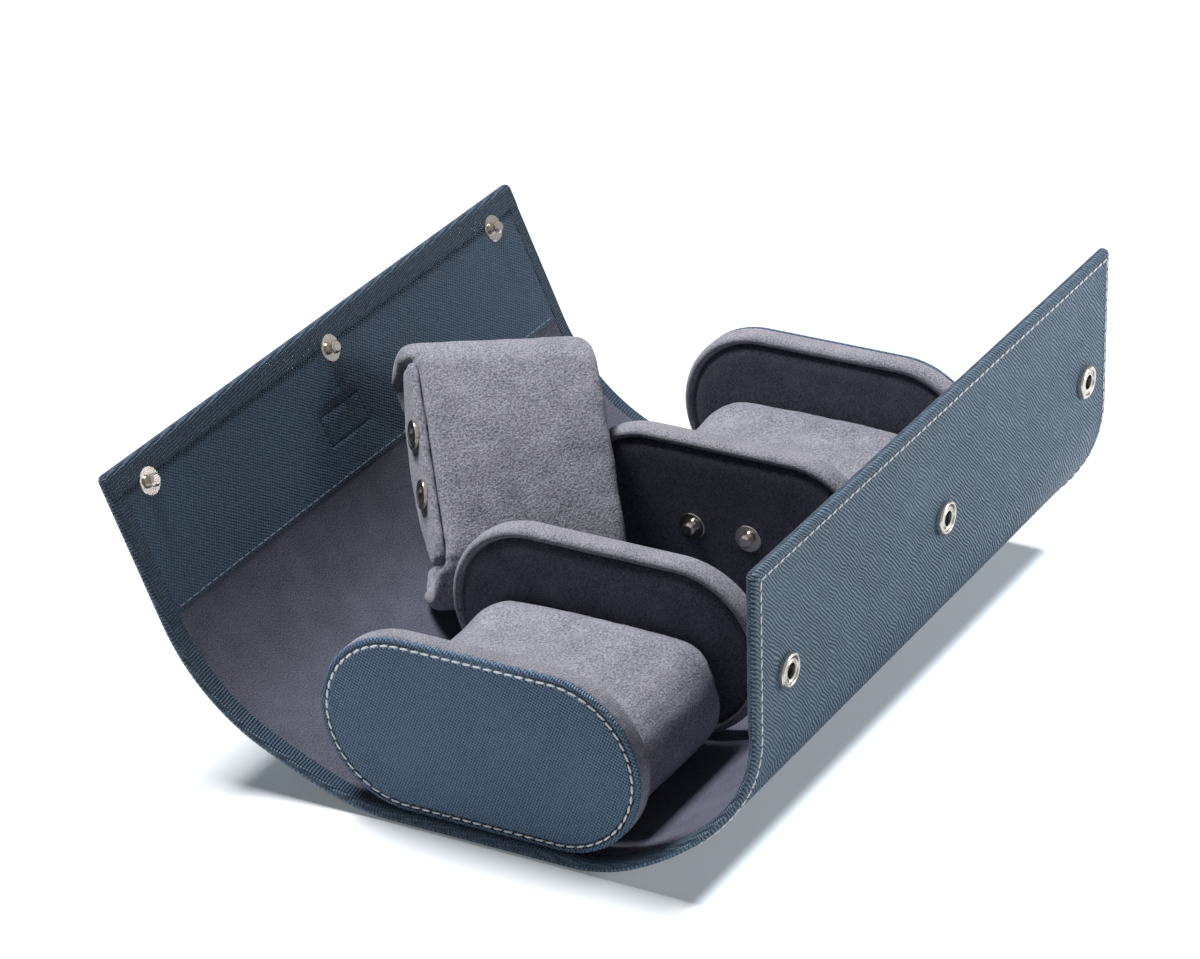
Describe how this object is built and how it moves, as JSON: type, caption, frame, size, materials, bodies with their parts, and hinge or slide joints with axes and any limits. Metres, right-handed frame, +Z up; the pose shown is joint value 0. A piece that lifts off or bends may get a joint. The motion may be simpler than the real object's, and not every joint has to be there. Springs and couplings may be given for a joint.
{
  "type": "travel case for watches",
  "caption": "Roll-up leather travel case with oval dividers, snap flaps and padded C-shaped watch cuffs that snap between the dividers.",
  "frame": {"origin": "underside of the flat base, in the middle of the four dividers", "axes": "+X along the case towards its far end, +Y towards the outer flap with the studs, +Z up"},
  "size_m": [0.2212, 0.2067, 0.1034],
  "materials": {
    "blue_leather": "fine cross-grained calf leather, satin",
    "lining_suede": "napped microfibre suede, matt",
    "cuff_suede": "napped microfibre suede over padding, matt",
    "stiff_board": "pressed fibre board",
    "nickel": "warm polished nickel"
  },
  "bodies": {
    "base": {"base_leather": "blue_leather", "base_board": "stiff_board", "base_lining": "lining_suede", "near_end_panel_core": "lining_suede", "near_end_panel_face": "blue_leather", "near_end_panel_pad": "lining_suede", "divider_a_core": "lining_suede", "divider_a_pads": "lining_suede", "divider_a_studs": "nickel", "divider_b_core": "lining_suede", "divider_b_pads": "lining_suede", "divider_b_studs": "nickel", "far_end_panel_core": "lining_suede", "far_end_panel_face": "blue_leather", "far_end_panel_pad": "lining_suede", "far_end_panel_studs": "nickel"},
    "left_bend_1": {"left_bend_1_leather": "blue_leather", "left_bend_1_lining": "lining_suede"},
    "left_bend_2": {"left_bend_2_leather": "blue_leather", "left_bend_2_lining": "lining_suede"},
    "left_bend_3": {"left_bend_3_leather": "blue_leather", "left_bend_3_lining": "lining_suede"},
    "left_bend_4": {"left_bend_4_leather": "blue_leather", "left_bend_4_lining": "lining_suede"},
    "right_bend_1": {"right_bend_1_leather": "blue_leather", "right_bend_1_lining": "lining_suede"},
    "right_bend_2": {"right_bend_2_leather": "blue_leather", "right_bend_2_lining": "lining_suede"},
    "right_bend_3": {"right_bend_3_leather": "blue_leather", "right_bend_3_lining": "lining_suede"},
    "right_bend_4": {"right_bend_4_leather": "blue_leather", "right_bend_4_lining": "lining_suede"},
    "left_flap": {"left_flap_leather": "blue_leather", "left_flap_board": "stiff_board", "left_flap_facing": "blue_leather", "left_snap_studs": "nickel"},
    "right_flap": {"right_flap_leather": "blue_leather", "right_flap_board": "stiff_board", "right_flap_lining": "lining_suede", "right_snap_sockets": "nickel"},
    "near_cushion": {"near_cuff": "cuff_suede", "near_cuff_tab": "cuff_suede", "near_cuff_sockets": "nickel"},
    "loose_cushion": {"loose_cuff": "cuff_suede", "loose_cuff_tab": "cuff_suede", "loose_cuff_sockets": "nickel"},
    "far_cushion": {"far_cuff": "cuff_suede", "far_cuff_tab": "cuff_suede", "far_cuff_sockets": "nickel"}
  },
  "joints": [
    {"name": "left_wrap_close", "type": "hinge", "parent": "base", "child": "left_bend_1", "pos_m": [0, 0.0276, 0.003], "axis": [1, 0, 0], "range_deg": [0, 12]},
    {"name": "left_fold_2", "type": "hinge", "parent": "left_bend_1", "child": "left_bend_2", "pos_m": [0, 0.04862, 0.0069], "axis": [1, 0, 0], "range_deg": [0, 40]},
    {"name": "left_fold_3", "type": "hinge", "parent": "left_bend_2", "child": "left_bend_3", "pos_m": [0, 0.06833, 0.01547], "axis": [1, 0, 0], "range_deg": [0, 28]},
    {"name": "left_fold_4", "type": "hinge", "parent": "left_bend_3", "child": "left_bend_4", "pos_m": [0, 0.08552, 0.02818], "axis": [1, 0, 0], "range_deg": [0, 9]},
    {"name": "left_fold_5", "type": "hinge", "parent": "left_bend_4", "child": "left_flap", "pos_m": [0, 0.09717, 0.04612], "axis": [1, 0, 0], "range_deg": [0, 24]},
    {"name": "right_wrap_close", "type": "hinge", "parent": "base", "child": "right_bend_1", "pos_m": [0, -0.0276, 0.003], "axis": [-1, 0, 0], "range_deg": [0, 12]},
    {"name": "right_fold_2", "type": "hinge", "parent": "right_bend_1", "child": "right_bend_2", "pos_m": [0, -0.04754, 0.00779], "axis": [-1, 0, 0], "range_deg": [0, 32.25]},
    {"name": "right_fold_3", "type": "hinge", "parent": "right_bend_2", "child": "right_bend_3", "pos_m": [0, -0.06487, 0.01904], "axis": [-1, 0, 0], "range_deg": [0, 17.25]},
    {"name": "right_fold_4", "type": "hinge", "parent": "right_bend_3", "child": "right_bend_4", "pos_m": [0, -0.07838, 0.03458], "axis": [-1, 0, 0], "range_deg": [0, 26.49]},
    {"name": "right_fold_5", "type": "hinge", "parent": "right_bend_4", "child": "right_flap", "pos_m": [0, -0.08402, 0.05426], "axis": [-1, 0, 0], "range_deg": [0, 3.01]},
    {"name": "near_cuff_unsnap", "type": "slide", "parent": "base", "child": "near_cushion", "axis": [-1, 0, 0], "range_m": [0, 0.0024]},
    {"name": "far_cuff_unsnap", "type": "slide", "parent": "base", "child": "far_cushion", "axis": [-1, 0, 0], "range_m": [0, 0.0024]},
    {"name": "loose_cuff_lift", "type": "slide", "parent": "base", "child": "loose_cushion", "axis": [0, 0, 1], "range_m": [0, 0.4]}
  ],
  "couplings": [
    {"joint": "left_fold_2", "follows": "left_wrap_close", "ratio": 3.3333},
    {"joint": "left_fold_3", "follows": "left_wrap_close", "ratio": 2.3333},
    {"joint": "left_fold_4", "follows": "left_wrap_close", "ratio": 0.75},
    {"joint": "left_fold_5", "follows": "left_wrap_close", "ratio": 2},
    {"joint": "right_fold_2", "follows": "right_wrap_close", "ratio": 2.6875},
    {"joint": "right_fold_3", "follows": "right_wrap_close", "ratio": 1.4375},
    {"joint": "right_fold_4", "follows": "right_wrap_close", "ratio": 2.2075},
    {"joint": "right_fold_5", "follows": "right_wrap_close", "ratio": 0.2508},
    {"joint": "loose_cuff_lift", "follows": "left_wrap_close", "m_per_rad": 1.9098}
  ]
}
